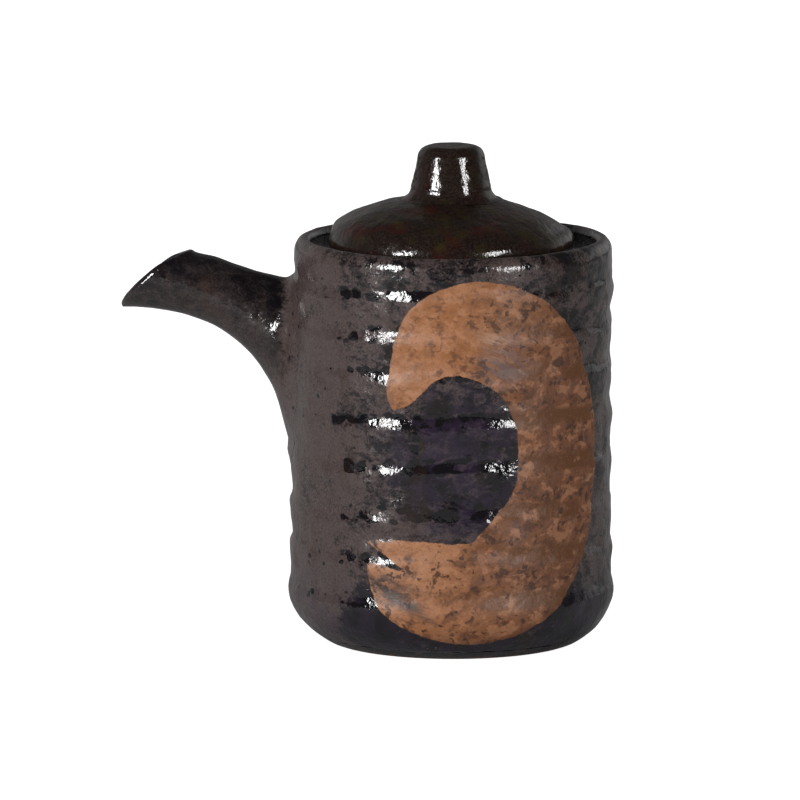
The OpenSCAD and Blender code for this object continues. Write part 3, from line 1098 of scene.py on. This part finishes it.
def bare_clay(name, glazed_above=None):
    """Fired stoneware with grit, under glaze above a height if that is given."""
    n = Nodes(name)
    where = n.position()
    grit = n.noise(where, 0.5, 5.0, 0.7)
    color = n.mix(n.step(grit, 0.4, 0.7), BARE_CLAY, BARE_CLAY_DARK)
    color = n.mix(n.step(n.cells(where, 1.4), 0.0, 0.18, 0.8, 0.0), color, GRIT_BLACK)
    rough = n.step(grit, 0.3, 0.8, 0.62, 0.85)
    if glazed_above is not None:
        line = n.plus(n.axis(where, 2), n.times(n.noise(where, 2.4, 4.0, 0.6), 1.4))
        cover = n.step(line, glazed_above, glazed_above + 0.15)
        glaze, glaze_rough = mottled_glaze(n, where, 0.25, 0.0)[:2]
        color = n.mix(cover, color, glaze)
        rough = n.plus(n.times(rough, n.minus(1.0, cover)),
                       n.times(cover, glaze_rough))
    return n.finish(color, rough, n.bump(grit, 0.06))


def ledge_glaze(name):
    n = Nodes(name)
    where = n.position()
    color, rough = mottled_glaze(n, where, 0.35, 0.0)[:2]
    rough = n.plus(rough, 0.12)
    return n.finish(color, rough, pebbled(n, where, 0.05), GLAZE_IOR)


def give(obj, material):
    obj.data.materials.clear()
    obj.data.materials.append(material)


# ---------------- studio


def stage_floor():
    half = 20.0
    mesh = bpy.data.meshes.new("floor")
    mesh.from_pydata([(-half, -half, 0), (half, -half, 0), (half, half, 0), (-half, half, 0)],
                     [], [(0, 1, 2, 3)])
    floor = in_scene("floor", mesh)
    n = Nodes("floor_paper")
    tone = n.step(n.noise(n.position(), 900.0, 2.0, 0.5), 0.3, 0.7, 0.44, 0.46)
    n.finish(n.combine(tone, tone, tone), 0.9)
    n.shader.inputs["Specular IOR Level"].default_value = 0.1
    n.shader.inputs["Emission Color"].default_value = (1, 1, 1, 1)
    glow = n.tree.nodes.new("ShaderNodeLightPath")
    n.link(n.times(glow.outputs["Is Camera Ray"], 0.93), n.shader.inputs["Emission Strength"])
    give(floor, n.material)


def heading(degrees):
    """Level direction from the object at an angle to the right of the camera."""
    a = math.radians(VIEW_AZIMUTH + degrees)
    return Vector((math.sin(a), -math.cos(a), 0))


def stand_back(obj, aim, degrees, elevation, distance):
    """Puts a light or camera at a distance and angles from a point, facing it."""
    away = heading(degrees) * math.cos(math.radians(elevation))
    away.z = math.sin(math.radians(elevation))
    obj.location = aim + away * distance
    obj.rotation_euler = away.to_track_quat("Z", "Y").to_euler()


def softbox(name, degrees, elevation, distance, width, height, power):
    """Area light at a heading and elevation in degrees, metres from the pot, in watts."""
    light = bpy.data.lights.new(name, "AREA")
    light.shape = "RECTANGLE"
    light.size = width
    light.size_y = height
    light.energy = power
    obj = in_scene(name, light)
    stand_back(obj, LIGHT_AIM, degrees, elevation, distance)
    return obj


def back_fill():
    """Lights the far side of the object softly, without a reflection of its own."""
    fill = softbox("back_fill", degrees=178, elevation=28, distance=1.4, width=1.2, height=0.8, power=9)
    fill.visible_glossy = False


def studio_world():
    """Dim studio: dark in front and overhead, grey behind, lighter behind at each side.
    Plain white where the camera looks straight at it."""
    world = bpy.data.worlds.new("studio")
    world.use_nodes = True
    tree = world.node_tree
    tree.nodes.clear()
    output = tree.nodes.new("ShaderNodeOutputWorld")
    background = tree.nodes.new("ShaderNodeBackground")
    coords = tree.nodes.new("ShaderNodeTexCoord")

    def toward(direction, start, full, dark, bright):
        """dark up to start, bright from full on, by how near a ray is to the direction."""
        dot = tree.nodes.new("ShaderNodeVectorMath")
        dot.operation = "DOT_PRODUCT"
        dot.inputs[1].default_value = direction
        tree.links.new(coords.outputs["Generated"], dot.inputs[0])
        ramp = tree.nodes.new("ShaderNodeMapRange")
        ramp.interpolation_type = "SMOOTHSTEP"
        tree.links.new(dot.outputs["Value"], ramp.inputs["Value"])
        for name, v in (("From Min", start), ("From Max", full), ("To Min", dark), ("To Max", bright)):
            ramp.inputs[name].default_value = v
        return ramp.outputs[0]

    def both(kind, a, b):
        node = tree.nodes.new("ShaderNodeMath")
        node.operation = kind
        tree.links.new(a, node.inputs[0])
        tree.links.new(b, node.inputs[1])
        return node.outputs[0]

    around = toward(heading(0), start=0.25, full=-0.30, dark=0.02, bright=0.10)
    behind_right = toward(heading(138), start=0.80, full=0.97, dark=0.0, bright=0.34)
    behind_left = toward(heading(-145), start=0.80, full=0.97, dark=0.0, bright=0.16)
    overhead = toward(Vector((0, 0, 1)), start=0.45, full=0.85, dark=1.0, bright=0.25)
    glow = both("ADD", both("ADD", around, behind_right), behind_left)
    glow = both("MULTIPLY", glow, overhead)
    seen = tree.nodes.new("ShaderNodeLightPath")
    background.inputs["Color"].default_value = (1, 1, 1, 1)
    tree.links.new(both("MAXIMUM", seen.outputs["Is Camera Ray"], glow), background.inputs["Strength"])
    tree.links.new(background.outputs[0], output.inputs["Surface"])
    bpy.context.scene.world = world


def aim_camera():
    data = bpy.data.cameras.new("camera")
    data.sensor_width = 36.0
    data.lens = data.sensor_width * VIEW_DISTANCE / VIEW_WIDTH
    data.clip_end = 100.0
    camera = in_scene("camera", data)
    stand_back(camera, VIEW_AIM, 0.0, VIEW_ELEVATION, VIEW_DISTANCE)
    bpy.context.scene.camera = camera


# ---------------- put together

aim_camera()

pot = build_pot()
foot = build_foot()
seat = build_seat()
spout = build_spout()
dome = build_dome()
knob = build_knob()
flange = build_flange()

give(pot, pot_glaze("pot_glaze_look"))
give(spout, pot_glaze("spout_glaze_look"))
give(foot, bare_clay("foot_look", glazed_above=0.9))
give(seat, ledge_glaze("ledge_look"))
give(dome, lid_glaze("lid_glaze_look", 0.9))
give(knob, lid_glaze("knob_glaze_look", 0.35))
give(flange, bare_clay("flange_look"))

bpy.context.scene.view_settings.view_transform = "Standard"
studio_world()
stage_floor()
softbox("left_box", degrees=-48, elevation=16, distance=1.3, width=0.27, height=0.46, power=12)
softbox("right_box", degrees=42.5, elevation=16, distance=1.3, width=0.23, height=0.46, power=6.8)
back_fill()
